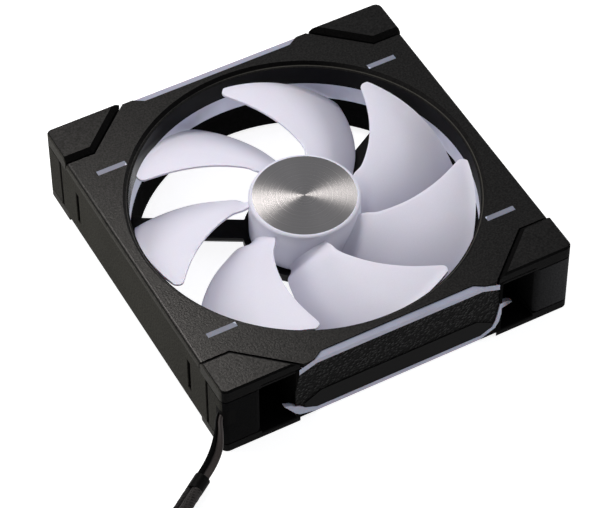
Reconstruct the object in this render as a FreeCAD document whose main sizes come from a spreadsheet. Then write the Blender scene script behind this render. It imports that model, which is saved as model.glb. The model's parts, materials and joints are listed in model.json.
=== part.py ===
"""Case fan, 120 mm class: square lit frame, seven-blade rotor on a brushless motor, and its lead.

Origin: the rotor's axis, on the plane under the four bottom corner pads.  +Z is the intake side,
-Y is the side whose left end lets the lead out, -X is the plain side with two slots.
"""
import FreeCAD, Part
import math
import os
import re
import Sketcher
from FreeCAD import Placement, Rotation, Vector

SIZES = {
    # frame
    "frame_side": 120.0, "frame_height": 28.0, "pad_step": 1.6, "cover_thickness": 2.0,
    "edge_round": 1.2, "corner_round": 2.2,
    "bore_radius": 54.4, "outlet_radius": 52.8, "taper_height": 9.0, "rim_radius": 56.1,
    "ledge_radius": 55.2, "ledge_depth": 1.2, "ledge_groove": 0.4, "tool_excess": 1.0,
    "seat_radius": 56.8, "duct_radius": 58.2,
    "ring_bottom": 11.3, "ring_top": 17.7, "ring_outer": 56.4, "flex_margin": 0.8,
    # corners: caps above, pads below, posts between them
    "cap_side": 45.6, "cap_knee": 50.1, "cap_front": 34.1, "cap_slope": 1.5,
    "groove_side": 45.0, "groove_knee": 49.9, "groove_front": 33.0,
    "lip_gap": 0.05, "lip_front": 57.0, "lip_back": 46.6, "cap_groove": 0.4,
    "post_front": 47.2, "post_side": 50.5, "post_bottom": 3.1, "post_top": 23.4, "post_reveal": 0.5,
    "post_neck": 0.8, "post_round": 1.8, "seam": 1.5,
    "hole_spacing": 105.0, "hole_radius": 2.2, "boss_radius": 4.4, "cap_roof": 2.0, "cap_chamfer": 0.6,
    "grommet_bottom": 12.8, "grommet_top": 18.8, "grommet_side": 4.2,
    "pocket_inner": 35.6, "pocket_depth": 26.0, "flange": 0.8,
    "slot_offset": 38.0, "slot_width": 2.2, "slot_bottom": 6.5, "slot_top": 19.8, "slot_depth": 3.0,
    # side trim and light strips, given from the middle of a side
    "trim_depth": 1.4, "panel_inset": 0.3, "badge_inset": 0.1,
    "strip_top": 26.0, "strip_face": 24.2, "strip_tip_top": 24.1, "strip_tip_bottom": 21.8,
    "strip_half": 28.4, "strip_shoulder": 29.5, "strip_tip": 34.4, "strip_width": 2.15, "strip_inner": 26.0,
    "low_knee_top": 5.3, "low_knee": 32.6, "riser_knee": 33.6, "riser_knee_level": 4.2, "riser_elbow_level": 6.6,
    "riser_end": 35.6, "riser_straight": 10.0, "riser_top": 14.8, "riser_tip": 34.9, "riser_inner": 34.2,
    "riser_inner_level": 7.4, "prong_root": 12.4, "prong_tip": 39.2, "prong_tip_level": 13.6, "prong_back": 37.6,
    "tail_root": 34.2, "tail_root_level": 3.0, "tail_low": 4.2, "tail_back": 37.4, "tail_back_low": 6.7,
    "tail_back_high": 8.9, "tail_tip": 39.6, "tail_tip_level": 9.9, "tail_high": 7.5, "tail_shoulder_level": 6.9,
    "low_thickness": 1.7, "badge_top": 10.4, "badge_half": 27.0, "badge_wide": 32.4, "badge_wide_level": 7.2,
    "bar_start": 43.2, "bar_finish": 53.0, "bar_offset": 37.0, "bar_width": 1.8, "bar_thickness": 1.2,
    # motor bracket
    "base_radius": 19.5, "base_bottom": 4.0, "base_top": 8.0, "base_boss_radius": 6.4, "base_boss_top": 9.2,
    "base_edge": 1.0, "strut_sink": 1.5,
    "strut_width": 7.8, "strut_foot": 6.0, "strut_bottom": 5.2, "strut_shoulder": 6.8, "strut_count": 3,
    "first_strut": 30.0,
    # motor
    "tube_radius": 4.5, "sleeve_radius": 3.5, "shaft_radius": 1.5, "bearing_gap": 0.03,
    "tube_bottom": 5.0, "tube_top": 19.0, "sleeve_bottom": 7.6, "sleeve_top": 18.0, "washer_thickness": 0.6,
    "end_play": 0.05,
    "board_radius": 14.8, "board_thickness": 1.0, "board_gap": 0.2, "label_radius": 16.5, "label_thickness": 0.15,
    "core_bottom": 12.0, "core_top": 17.0, "core_hub": 7.0, "core_outer": 12.8, "shoe_inner": 11.4,
    "arm_width": 3.0, "arm_sink": 0.4, "shoe_gap": 2.2, "insulator": 0.6, "winding_depth": 1.7,
    "winding_start": 7.3, "winding_end": 10.7,
    # rotor
    "hub_radius": 17.5, "hub_bottom": 8.8, "hub_top": 24.4, "hub_wall": 1.5, "hub_roof": 2.2, "hub_round": 1.1,
    "disc_radius": 16.3, "disc_thickness": 0.8,
    "yoke_wall": 1.0, "yoke_bottom": 10.2, "magnet_wall": 1.5, "magnet_bottom": 10.8, "magnet_top": 18.6,
    "collar_radius": 3.2, "collar_bottom": 19.6, "clip_radius": 2.6, "clip_bottom": 6.4, "clip_thickness": 0.4,
    "blade_count": 7, "blade_radius": 53.0, "blade_root": 16.7, "first_blade": 40.0,
    "lead_root": -35.5, "lead_tip": 3.0, "lead_bow": 2.1, "lead_root_height": 21.2, "lead_tip_height": 23.5,
    "trail_root": -72.4, "trail_tip": -41.5, "trail_height": 10.1,
    "blade_thick": 1.7, "blade_edge": 0.6, "tip_round": 3.4,
    # lead
    "lead_width": 3.4, "cable_width": 5.0,
    "coil_inner": 22.9, "coil_outer": 33.9, "coil_height": 9.8, "coil_center_x": -87.2, "coil_center_y": -118.8,
    "tie_width": 5.0, "tie_thickness": 0.6, "tie_angle": 200.0,
    "plug_length": 12.0, "plug_width": 10.4, "plug_height": 5.8, "plug_pitch": 2.54, "plug_hole": 1.2,
    "plug_wall": 4.0, "plug_hole_level": 2.3,
}

doc = FreeCAD.newDocument("CaseFan")
sheet = doc.addObject("Spreadsheet::Sheet", "Sizes")
for row, (alias, number) in enumerate(SIZES.items(), start=1):
    sheet.set(f"A{row}", alias)
    sheet.set(f"B{row}", str(number))
    sheet.setAlias(f"B{row}", alias)
doc.recompute()


# ---------------------------------------------------------------- helpers
def bound(formula):
    """A formula in sheet aliases, as an expression that any object can hold."""
    return re.sub(r"\b([a-z]\w*)\b(?!\()", r"Sizes.\1", str(formula))


def size(formula):
    """The present value of a formula in sheet aliases."""
    return float(sheet.evalExpression(str(formula)))


def bind(item, **properties):
    """Bind properties to formulas; a double underscore stands for a dot."""
    for name, formula in properties.items():
        item.setExpression(name.replace("__", "."), bound(formula))


def new_body(name, placement=None):
    body = doc.addObject("PartDesign::Body", name)
    body.Placement = placement or Placement()
    return body


def origin_part(body, role):
    return next(item for item in body.Origin.OriginFeatures if item.Role == role)


def outline(body, name, plane, level, corners):
    """A closed polygon sketch, each corner held by two formulas, at a level above its plane."""
    sketch = body.newObject("Sketcher::SketchObject", name)
    sketch.AttachmentSupport = [(origin_part(body, plane), "")]
    sketch.MapMode = "FlatFace"
    bind(sketch, AttachmentOffset__Base__z=level)
    spots = [Vector(size(x), size(y), 0) for x, y in corners]
    for here, there in zip(spots, spots[1:] + spots[:1]):
        sketch.addGeometry(Part.LineSegment(here, there))
    for index in range(len(spots)):
        sketch.addConstraint(Sketcher.Constraint("Coincident", index, 2, (index + 1) % len(spots), 1))
    for index, corner in enumerate(corners):
        for axis, formula, value in zip(("DistanceX", "DistanceY"), corner, spots[index]):
            number = sketch.addConstraint(Sketcher.Constraint(axis, -1, 1, index, 1, value))
            sketch.setExpression(f"Constraints[{number}]", bound(formula))
    return sketch


def pad(body, sketch, length, reversed_way=False):
    feature = body.newObject("PartDesign::Pad", f"{sketch.Name}_pad")
    feature.Profile = sketch
    feature.Reversed = reversed_way
    bind(feature, Length=length)
    body.Tip = feature
    return feature


def slab(name, level, corners, thickness):
    """A level outline made thick, upwards from its level."""
    body = new_body(name)
    pad(body, outline(body, f"{name}_plan", "XY_Plane", level, corners), thickness)
    return body


def upright(name, facing, corners, depth, inset="0"):
    """A side outline in X and Z, set into the -Y side (facing -1) or the +Y side (facing +1)."""
    body = new_body(name)
    face = f"{-facing}*(frame_side/2 - {inset})"
    sketch = outline(body, f"{name}_face", "XZ_Plane", face, corners)
    pad(body, sketch, depth, reversed_way=facing < 0)
    return body


def turned(name, section, placement=None):
    """A section in radius and height, turned about Z."""
    body = new_body(name, placement)
    sketch = outline(body, f"{name}_section", "XZ_Plane", "0", section)
    feature = body.newObject("PartDesign::Revolution", f"{name}_turn")
    feature.Profile = sketch
    feature.ReferenceAxis = (origin_part(body, "Z_Axis"), [""])
    feature.Angle = 360
    body.Tip = feature
    return body


def ring(name, inner, outer, bottom, top):
    return turned(name, [(inner, bottom), (outer, bottom), (outer, top), (inner, top)])


def block(name, low, high):
    """A box from its lowest corner to its highest one."""
    box = doc.addObject("Part::Box", name)
    bind(box, Placement__Base__x=low[0], Placement__Base__y=low[1], Placement__Base__z=low[2])
    bind(box, Length=f"({high[0]}) - ({low[0]})", Width=f"({high[1]}) - ({low[1]})",
         Height=f"({high[2]}) - ({low[2]})")
    return box


def mirrored_block(name, side_x, side_y, low, high):
    """A box given in the +X +Y corner, moved to the corner that the two signs name."""
    spans = [sorted([f"{sign}*({a})", f"{sign}*({b})"], key=size)
             for sign, a, b in zip((side_x, side_y, 1), low, high)]
    return block(name, [span[0] for span in spans], [span[1] for span in spans])


def peg(name, radius, low, high, x="0", y="0"):
    cylinder = doc.addObject("Part::Cylinder", name)
    bind(cylinder, Radius=radius, Height=f"({high}) - ({low})", Placement__Base__x=x, Placement__Base__y=y,
         Placement__Base__z=low)
    return cylinder


def joined(name, pieces):
    fuse = doc.addObject("Part::MultiFuse", name)
    fuse.Shapes = pieces
    fuse.Refine = True
    return fuse


def without(name, base, tools):
    cut = doc.addObject("Part::Cut", name)
    cut.Base = base
    cut.Tool = tools[0] if len(tools) == 1 else joined(f"{name}_tools", tools)
    return cut


def shaped(name, shape, placement=None):
    """A sub-part whose shape comes from Part's own functions."""
    feature = doc.addObject("Part::Feature", name)
    feature.Shape = shape
    feature.Placement = placement or Placement()
    return feature


def softened(name, base, radius, chosen, kind="Part::Fillet"):
    """Round or bevel the edges of a base that a test picks by their middle point."""
    doc.recompute()
    feature = doc.addObject(kind, name)
    feature.Base = base
    amount = size(radius)
    edges = base.Shape.Edges
    feature.Edges = [(number, amount, amount) for number, edge in enumerate(edges, start=1)
                     if chosen(edge.CenterOfMass, edge)]
    return feature


def is_upright(edge):
    start, end = (vertex.Point for vertex in edge.Vertexes[:2]) if len(edge.Vertexes) == 2 else (None, None)
    return start is not None and math.hypot(start.x - end.x, start.y - end.y) < 1e-6


SUBPARTS = []


def keep(item, label):
    """Name a finished sub-part; its label is its node and its file."""
    item.Label = label
    SUBPARTS.append(item)
    return item


HALF = "frame_side/2"
TOP_FACE = "(frame_height - pad_step)"
COVER_BOTTOM = "(frame_height - pad_step - cover_thickness)"
CORNERS = [("front_left", -1, -1), ("front_right", 1, -1), ("back_right", 1, 1), ("back_left", -1, 1)]
SIDES = [("front", -1), ("back", 1)]


# ---------------------------------------------------------------- side trim and light strips
def mirrored(spots):
    """Side outline points, bottom first, as their mirror images, top first."""
    return [(f"-({x})", z) for x, z in reversed(spots)]


def both_ways(half):
    """A side outline's right half, bottom first, closed by its mirror image."""
    return half + mirrored(half)


def make_side_trim(side, facing):
    """The two light strips, the grained panel and the smooth badge plate of one side."""
    wings = upright(f"{side}_wings", facing, both_ways([
        ("strip_half", "strip_face"), ("strip_tip", "strip_tip_bottom"), ("strip_tip", "strip_tip_top"),
        ("strip_shoulder", "strip_top")]), "trim_depth")
    inner = f"{facing}*({HALF} - strip_width)"
    outer = f"{facing}*({HALF})"
    crown_plan = [("-strip_inner", inner), ("strip_inner", inner), ("strip_shoulder", outer),
                  ("-strip_shoulder", outer)]
    crown = slab(f"{side}_crown", COVER_BOTTOM, crown_plan, f"strip_top - {COVER_BOTTOM}")
    keep(joined(f"{side}_top_strip", [wings, crown]), f"light_strip_top_{side}")

    foot = [("strip_half", "pad_step")]
    heel = [("strip_half", "pad_step + low_thickness")]
    riser_outside = [("riser_knee", "riser_knee_level"), ("riser_tip", "riser_elbow_level"),
                     ("riser_end", "riser_straight"), ("riser_end", "prong_root"), ("prong_tip", "prong_tip_level"),
                     ("prong_back", "riser_top"), ("riser_tip", "riser_top")]
    riser_inside = [("low_knee", "low_knee_top"), ("riser_knee", "riser_inner_level"),
                    ("riser_inner", "riser_straight"), ("riser_tip", "riser_top")]
    tail_outside = [("tail_root", "tail_root_level"), ("riser_end", "tail_low"), ("tail_back", "tail_back_low"),
                    ("tail_tip", "tail_tip_level"), ("tail_back", "tail_back_high"), ("riser_end", "tail_high")]
    tail_inside = [("low_knee", "low_knee_top"), ("tail_root", "tail_shoulder_level"), ("riser_end", "tail_high")]
    low = foot + riser_outside + riser_inside[-2::-1] + heel + mirrored(heel) + mirrored(
        tail_inside)[::-1][:-1] + mirrored(tail_outside) + mirrored(foot)
    keep(upright(f"{side}_low_strip", facing, low, "trim_depth"), f"light_strip_low_{side}")

    badge = both_ways(heel + [("low_knee", "low_knee_top"), ("badge_wide", "badge_wide_level"),
                              ("badge_half", "badge_top")])
    keep(upright(f"{side}_badge", facing, badge, "trim_depth - badge_inset", "badge_inset"), f"badge_plate_{side}")

    badge_rim = [("badge_half", "badge_top"), ("badge_wide", "badge_wide_level")]
    under_strip = [("strip_tip", "strip_tip_bottom"), ("strip_half", "strip_face")]
    panel = badge_rim + riser_inside + under_strip + mirrored(
        badge_rim + tail_inside + [("riser_end", "riser_top")] + under_strip)
    keep(upright(f"{side}_panel", facing, panel, "trim_depth - panel_inset", "panel_inset"), f"side_panel_{side}")

    edge_of_strip = [("strip_tip", "strip_tip_bottom"), ("strip_tip", "strip_tip_top"), ("strip_shoulder", "strip_top")]
    below = [("strip_half", "pad_step - tool_excess")]
    recess = below + foot + riser_outside + edge_of_strip + mirrored(
        below + foot + tail_outside + [("riser_end", "riser_top")] + edge_of_strip)
    hollow = upright(f"{side}_recess", facing, recess, "trim_depth")
    above = slab(f"{side}_crown_room", COVER_BOTTOM, crown_plan, "cover_thickness + tool_excess")
    return hollow, above


def make_light_bars():
    """Four short light bars let into the top cover, one near each corner."""
    bars = []
    for corner, sx, sy in CORNERS:
        bar = mirrored_block(f"{corner}_bar", sx, sy,
                             ("bar_start", "bar_offset - bar_width/2", f"{TOP_FACE} - bar_thickness"),
                             ("bar_finish", "bar_offset + bar_width/2", TOP_FACE))
        bars.append(keep(bar, f"light_bar_{corner}"))
    return bars


# ---------------------------------------------------------------- corners
def corner_plan(sx, sy, side, knee, front):
    """The five-sided plan of a corner piece."""
    return [(f"{sx}*({x})", f"{sy}*({y})") for x, y in (
        (HALF, side), (knee, side), (front, HALF), (HALF, HALF))]


def corner_hole(name, sx, sy, high):
    return peg(name, "hole_radius", "-tool_excess", high, f"{sx}*hole_spacing/2", f"{sy}*hole_spacing/2")


def outer_edge(sx, sy):
    """Picks the upright edge at a corner of the frame."""
    reach = size(HALF)
    return lambda middle, edge: (is_upright(edge) and abs(middle.x - sx * reach) < 1e-3
                                 and abs(middle.y - sy * reach) < 1e-3)


def top_edge(outer):
    """Picks a cap's top edges: those on the sides of the frame, or those along the groove."""
    height = size("frame_height")
    inside = size(f"{HALF} - corner_round")
    return lambda middle, edge: (abs(middle.z - height) < 1e-3
                                 and (max(abs(middle.x), abs(middle.y)) > inside) == outer)


def make_corner_cap(corner, sx, sy):
    """The proud cap over a corner: sloped along the groove, with a skirt round the post, a lip that roofs
    the pocket and a blind screw hole."""
    plate = slab(f"{corner}_cap_plate", COVER_BOTTOM, corner_plan(sx, sy, "cap_side", "cap_knee", "cap_front"),
                 f"frame_height - {COVER_BOTTOM}")
    skirt = mirrored_block(f"{corner}_cap_skirt", sx, sy, ("post_front", "cap_side", "post_top"),
                           (HALF, HALF, COVER_BOTTOM))
    lip = slab(f"{corner}_cap_lip", f"{COVER_BOTTOM} - flange", [(f"{sx}*({x})", f"{sy}*({y})") for x, y in (
        ("pocket_inner + lip_gap", HALF), ("post_front", HALF), ("post_front", "lip_back"),
        ("pocket_inner + lip_gap", "lip_front"))], "flange")
    rounded = softened(f"{corner}_cap_round", joined(f"{corner}_cap_raw", [plate, skirt, lip]), "corner_round",
                       outer_edge(sx, sy))
    sloped = softened(f"{corner}_cap_sloped", rounded, "cap_slope", top_edge(False), "Part::Chamfer")
    bevelled = softened(f"{corner}_cap_bevel", sloped, "cap_chamfer", top_edge(True), "Part::Chamfer")
    hole = corner_hole(f"{corner}_cap_hole", sx, sy, "frame_height - cap_roof")
    groove = mirrored_block(f"{corner}_cap_groove", sx, sy,
                            ("cap_front - tool_excess", f"{HALF} - cap_groove", COVER_BOTTOM),
                            ("post_front", f"{HALF} + tool_excess", f"{COVER_BOTTOM} + cap_groove"))
    keep(without(f"{corner}_cap", bevelled, [hole, groove]), f"corner_cap_{corner}")


def make_corner_pad(corner, sx, sy):
    """The foot under a corner, with its screw hole."""
    plate = slab(f"{corner}_pad_plate", "0", corner_plan(sx, sy, "cap_side", "cap_knee", "cap_front"), "pad_step")
    skirt = mirrored_block(f"{corner}_pad_skirt", sx, sy, ("post_front", "cap_side", "pad_step"),
                           (HALF, HALF, "post_bottom"))
    rounded = softened(f"{corner}_pad_round", joined(f"{corner}_pad_raw", [plate, skirt]), "corner_round",
                       outer_edge(sx, sy))
    hole = corner_hole(f"{corner}_pad_hole", sx, sy, "post_bottom + tool_excess")
    keep(without(f"{corner}_pad", rounded, [hole]), f"corner_pad_{corner}")


def make_corner_post(corner, sx, sy):
    """The post between a cap and a pad; the front left one is notched for the lead's grommet."""
    shaft = mirrored_block(f"{corner}_post_block", sx, sy, ("post_front", "post_side", "post_bottom + post_reveal"),
                           (HALF, HALF, "post_top - post_reveal"))
    rounded = softened(f"{corner}_post_round", shaft, "corner_round", outer_edge(sx, sy))
    front = size("post_front")
    reach = size(HALF)
    rounded = softened(f"{corner}_post_ease", rounded, "post_round",
                       lambda middle, edge: (is_upright(edge) and abs(abs(middle.x) - front) < 1e-3
                                             and abs(abs(middle.y) - reach) < 1e-3))
    neck = mirrored_block(f"{corner}_post_neck", sx, sy, ("post_front + post_neck", "post_side", "post_bottom"),
                          (f"{HALF} - post_neck", f"{HALF} - post_neck", "post_top"))
    boss = peg(f"{corner}_post_boss", "boss_radius", "post_bottom", "post_top",
               f"{sx}*hole_spacing/2", f"{sy}*hole_spacing/2")
    tools = [corner_hole(f"{corner}_post_hole", sx, sy, "post_top + tool_excess")]
    if corner == "front_left":
        tools.append(block("grommet_notch", GROMMET_LOW, GROMMET_HIGH))
    keep(without(f"{corner}_post", joined(f"{corner}_post_raw", [rounded, neck, boss]), tools),
         f"corner_post_{corner}")


GROMMET_LOW = (f"-({HALF}) - tool_excess", f"-({HALF}) - tool_excess", "grommet_bottom")
GROMMET_HIGH = (f"-({HALF}) + grommet_side", f"-({HALF}) + grommet_side", "grommet_top")


def make_grommet():
    """The soft block in the front left post that the lead comes out of."""
    soft = block("grommet_block", (f"-({HALF})", f"-({HALF})", GROMMET_LOW[2]), GROMMET_HIGH)
    keep(softened("grommet_round", soft, "corner_round", outer_edge(-1, -1)), "lead_grommet")


# ---------------------------------------------------------------- frame
def bore_tool():
    """The air passage through the housing, from the outlet up to the seat of the lit ring."""
    return turned("bore_tool", [
        ("0", "pad_step - tool_excess"), ("outlet_radius", "pad_step - tool_excess"),
        ("outlet_radius", "pad_step"), ("bore_radius", "taper_height"), ("bore_radius", "ring_bottom"),
        ("seat_radius", "ring_bottom"), ("seat_radius", f"{COVER_BOTTOM} + tool_excess"),
        ("0", f"{COVER_BOTTOM} + tool_excess")])


def make_housing(passage, recesses):
    """The main moulding: a square shell round the duct, open at the corners and at the side pockets."""
    shell = block("housing_block", (f"-({HALF})", f"-({HALF})", "pad_step"), (HALF, HALF, COVER_BOTTOM))
    tools = [passage] + recesses
    duct = peg("duct_wall", "duct_radius", "0", "frame_height")
    pockets = []
    for corner, sx, sy in CORNERS:
        tools.append(mirrored_block(f"{corner}_post_room", sx, sy, ("post_front", "post_side - seam", "0"),
                                    (f"{HALF} + tool_excess", f"{HALF} + tool_excess", "frame_height")))
        tools.append(mirrored_block(f"{corner}_low_skirt_room", sx, sy, ("post_front", "cap_side", "0"),
                                    (f"{HALF} + tool_excess", f"{HALF} + tool_excess", "post_bottom")))
        tools.append(mirrored_block(f"{corner}_high_skirt_room", sx, sy, ("post_front", "cap_side", "post_top"),
                                    (f"{HALF} + tool_excess", f"{HALF} + tool_excess", "frame_height")))
        tools.append(peg(f"{corner}_boss_room", "boss_radius", "0", "frame_height",
                         f"{sx}*hole_spacing/2", f"{sy}*hole_spacing/2"))
        tools.append(mirrored_block(f"{corner}_slot", sx, sy,
                                    (f"{HALF} - slot_depth", "slot_offset - slot_width/2", "slot_bottom"),
                                    (f"{HALF} + tool_excess", "slot_offset + slot_width/2", "slot_top")))
        pockets.append(mirrored_block(f"{corner}_pocket", sx, sy,
                                      ("pocket_inner", f"{HALF} - pocket_depth", "pad_step + flange"),
                                      ("post_front", f"{HALF} + tool_excess", f"{COVER_BOTTOM} + tool_excess")))
    tools.append(without("pocket_tool", joined("pocket_blocks", pockets), [duct]))
    keep(without("housing", shell, tools), "frame_housing")


def make_top_cover(rooms, bars):
    """The intake-side cover, whose sleeve reaches down the duct and holds the lit ring."""
    plan = []
    for sx, sy in ((1, 1), (-1, 1), (-1, -1), (1, -1)):
        spots = corner_plan(sx, sy, "groove_side", "groove_knee", "groove_front")[:3]
        plan += spots if sx * sy > 0 else spots[::-1]
    plate = slab("cover_plate", COVER_BOTTOM, plan, "cover_thickness")
    half = size(HALF)
    top = size(TOP_FACE)
    eased = softened("cover_ease", plate, "edge_round",
                     lambda middle, edge: abs(abs(middle.x) - half) < 1e-3 and abs(middle.z - top) < 1e-3)
    sleeve = ring("cover_sleeve", "bore_radius", "seat_radius", "ring_top", COVER_BOTTOM)
    mouth = turned("cover_mouth", [
        ("0", "ring_top - tool_excess"), ("bore_radius", "ring_top - tool_excess"),
        ("bore_radius", f"{TOP_FACE} - ledge_depth - ledge_groove"),
        ("ledge_radius - ledge_groove/2", f"{TOP_FACE} - ledge_depth"), ("ledge_radius", f"{TOP_FACE} - ledge_depth"),
        ("rim_radius", TOP_FACE), ("rim_radius", f"{TOP_FACE} + tool_excess"), ("0", f"{TOP_FACE} + tool_excess")])
    keep(without("cover", joined("cover_raw", [eased, sleeve]), [mouth] + rooms + bars), "top_cover")


def make_lit_ring():
    """The translucent ring in the duct wall and the thin board behind it."""
    keep(ring("diffuser", "bore_radius", "ring_outer", "ring_bottom", "ring_top"), "duct_light_ring")
    keep(ring("flex", "ring_outer", "seat_radius", "ring_bottom + flex_margin", "ring_top - flex_margin"),
         "duct_light_board")


# ---------------------------------------------------------------- motor, fixed side
def make_bracket(passage):
    """The motor base and its struts, cut to end on the duct wall."""
    body = new_body("bracket_body")
    base = outline(body, "base_section", "XZ_Plane", "0", [
        ("0", "base_bottom"), ("base_radius - base_edge", "base_bottom"), ("base_radius", "base_bottom + base_edge"),
        ("base_radius", "base_top"), ("base_boss_radius", "base_top"), ("base_boss_radius", "base_boss_top"),
        ("tube_radius", "base_boss_top"), ("tube_radius", "tube_bottom"), ("0", "tube_bottom")])
    turn = body.newObject("PartDesign::Revolution", "base_turn")
    turn.Profile = base
    turn.ReferenceAxis = (origin_part(body, "Z_Axis"), [""])
    turn.Angle = 360
    strut = outline(body, "strut_section", "YZ_Plane", "base_radius - strut_sink", [
        ("-strut_foot/2", "strut_bottom"), ("strut_foot/2", "strut_bottom"), ("strut_width/2", "strut_shoulder"),
        ("strut_width/2", "base_top"), ("-strut_width/2", "base_top"), ("-strut_width/2", "strut_shoulder")])
    arm = pad(body, strut, "bore_radius - base_radius + 2*strut_sink")
    fan_out = body.newObject("PartDesign::PolarPattern", "strut_pattern")
    fan_out.Originals = [arm]
    fan_out.Axis = (origin_part(body, "Z_Axis"), [""])
    fan_out.Angle = 360
    bind(fan_out, Occurrences="strut_count")
    body.Tip = fan_out
    bind(body, Placement__Rotation__Angle="first_strut")
    fitted = doc.addObject("Part::Common", "bracket")
    fitted.Base = body
    fitted.Tool = passage
    keep(fitted, "motor_bracket")
    keep(ring("label", "0", "label_radius", "base_bottom - label_thickness", "base_bottom"), "rear_label")


def core_plan(bottom, top):
    """The four-armed lamination plan: a hub ring, arms and curved pole shoes, between two heights."""
    hub = ring_shape("tube_radius", "core_hub", bottom, top)
    shoes = ring_shape("shoe_inner", "core_outer", bottom, top)
    span = size("core_outer")
    width = size("arm_width")
    gap = size("shoe_gap")
    low = size(bottom)
    tall = size(top) - low
    bars = [Part.makeBox(2 * span, gap, tall, Vector(-span, -gap / 2, low)),
            Part.makeBox(gap, 2 * span, tall, Vector(-gap / 2, -span, low))]
    for bar in bars:
        shoes = shoes.cut(bar.rotated(Vector(), Vector(0, 0, 1), 45))
    reach = size("shoe_inner + arm_sink")
    inside = size("core_hub - arm_sink")
    arms = [Part.makeBox(reach - inside, width, tall, Vector(inside, -width / 2, low)).rotated(
        Vector(), Vector(0, 0, 1), 90 * quarter) for quarter in range(4)]
    return hub.multiFuse([shoes] + arms).removeSplitter()


def ring_shape(inner, outer, bottom, top):
    tall = size(top) - size(bottom)
    base = Vector(0, 0, size(bottom))
    return Part.makeCylinder(size(outer), tall, base).cut(Part.makeCylinder(size(inner), tall, base))


def make_stator():
    """The laminated core, its two insulators, the four windings and the board under them."""
    keep(shaped("core", core_plan("core_bottom", "core_top")), "stator_core")
    below = core_plan("core_bottom - insulator", "core_bottom")
    above = core_plan("core_top", "core_top + insulator")
    keep(shaped("insulators", Part.makeCompound([below, above])), "stator_insulators")

    depth = size("winding_depth")
    low = size("core_bottom - insulator")
    high = size("core_top + insulator")
    start = size("winding_start")
    length = size("winding_end") - start
    inner = Part.makeBox(length, size("arm_width"), high - low, Vector(start, -size("arm_width") / 2, low))
    outer = Part.makeBox(length, size("arm_width") + 2 * depth, high - low + depth,
                         Vector(start, -size("arm_width") / 2 - depth, low - depth / 2))
    coil = outer.cut(inner)
    turns = [coil.rotated(Vector(), Vector(0, 0, 1), 90 * quarter) for quarter in range(4)]
    keep(shaped("windings", Part.makeCompound(turns)), "stator_windings")
    keep(ring("board", "base_boss_radius", "board_radius", "base_top + board_gap",
              "base_top + board_gap + board_thickness"), "motor_board")


def make_bearing():
    """The bearing tube, the sleeve in it and the washer that the shaft stands on."""
    keep(ring("tube", "sleeve_radius", "tube_radius", "tube_bottom", "tube_top"), "bearing_tube")
    keep(ring("sleeve", "shaft_radius + bearing_gap", "sleeve_radius", "sleeve_bottom", "sleeve_top"),
         "bearing_sleeve")
    keep(ring("washer", "0", "sleeve_radius", "tube_bottom", "tube_bottom + washer_thickness"), "thrust_washer")


# ---------------------------------------------------------------- rotor
def blade_point(share, radius, side):
    """A point of the blade: share 0 at the leading edge, 1 at the trailing one; side +1 above, -1 below."""
    out = (radius - size("hub_radius")) / (size("blade_radius") - size("hub_radius"))

    def middle(part):
        lead = size("lead_root") + (size("lead_tip") - size("lead_root")) * out
        lead += 4 * size("lead_bow") * out * (1 - out)
        past = max(0.0, radius - size("blade_radius - tip_round")) / size("tip_round")
        lead -= math.degrees(size("tip_round") * past ** 2.2 / radius)
        trail = size("trail_root") + (size("trail_tip") - size("trail_root")) * out
        high = size("lead_root_height") + (size("lead_tip_height") - size("lead_root_height")) * out
        first = 0.5 + 0.1 * out
        third = 0.5 * out
        drop = first * part + (1 - first - third) * part ** 2 + third * part ** 3
        return math.radians(lead + part * (trail - lead)), high - (high - size("trail_height")) * drop

    step = 1e-3
    angle, height = middle(share)
    ahead_angle, ahead_height = middle(share + step)
    along = (ahead_angle - angle) * radius
    down = ahead_height - height
    length = math.hypot(along, down)
    body = size("blade_edge") + (size("blade_thick") - size("blade_edge")) * math.sqrt(4 * share * (1 - share))
    shift = side * body / 2
    angle += shift * (down / length) / radius
    height -= shift * (along / length)
    return Vector(radius * math.cos(angle), radius * math.sin(angle), height)


def blade_shape():
    """One swept, twisted blade, closed round its rim by ruled faces."""
    shares = [0.5 - 0.5 * math.cos(math.pi * step / 12) for step in range(13)]
    root = size("blade_root")
    tip = size("blade_radius")
    straight = tip - size("tip_round")
    radii = [root + (straight - root) * step / 6 for step in range(7)]
    radii += [straight + (tip - straight) * step / 4 for step in range(1, 5)]
    faces = []
    for side in (1, -1):
        surface = Part.BSplineSurface()
        surface.interpolate([[blade_point(share, radius, side) for share in shares] for radius in radii])
        faces.append(surface)
    top, bottom = faces
    rims = []
    for edge in ("u0", "u1", "v0", "v1"):
        rims.append(Part.makeRuledSurface(border(top, edge), border(bottom, edge)))
    shell = Part.makeShell([top.toShape(), bottom.toShape()] + rims)
    shell.sewShape()
    solid = Part.makeSolid(shell)
    if solid.Volume < 0:
        solid.reverse()
    return solid


def border(surface, edge):
    """One of the four border curves of a spline surface, as an edge."""
    u0, u1, v0, v1 = surface.bounds()
    curve = {"u0": lambda: surface.uIso(u0), "u1": lambda: surface.uIso(u1),
             "v0": lambda: surface.vIso(v0), "v1": lambda: surface.vIso(v1)}[edge]()
    return curve.toShape()


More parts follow.
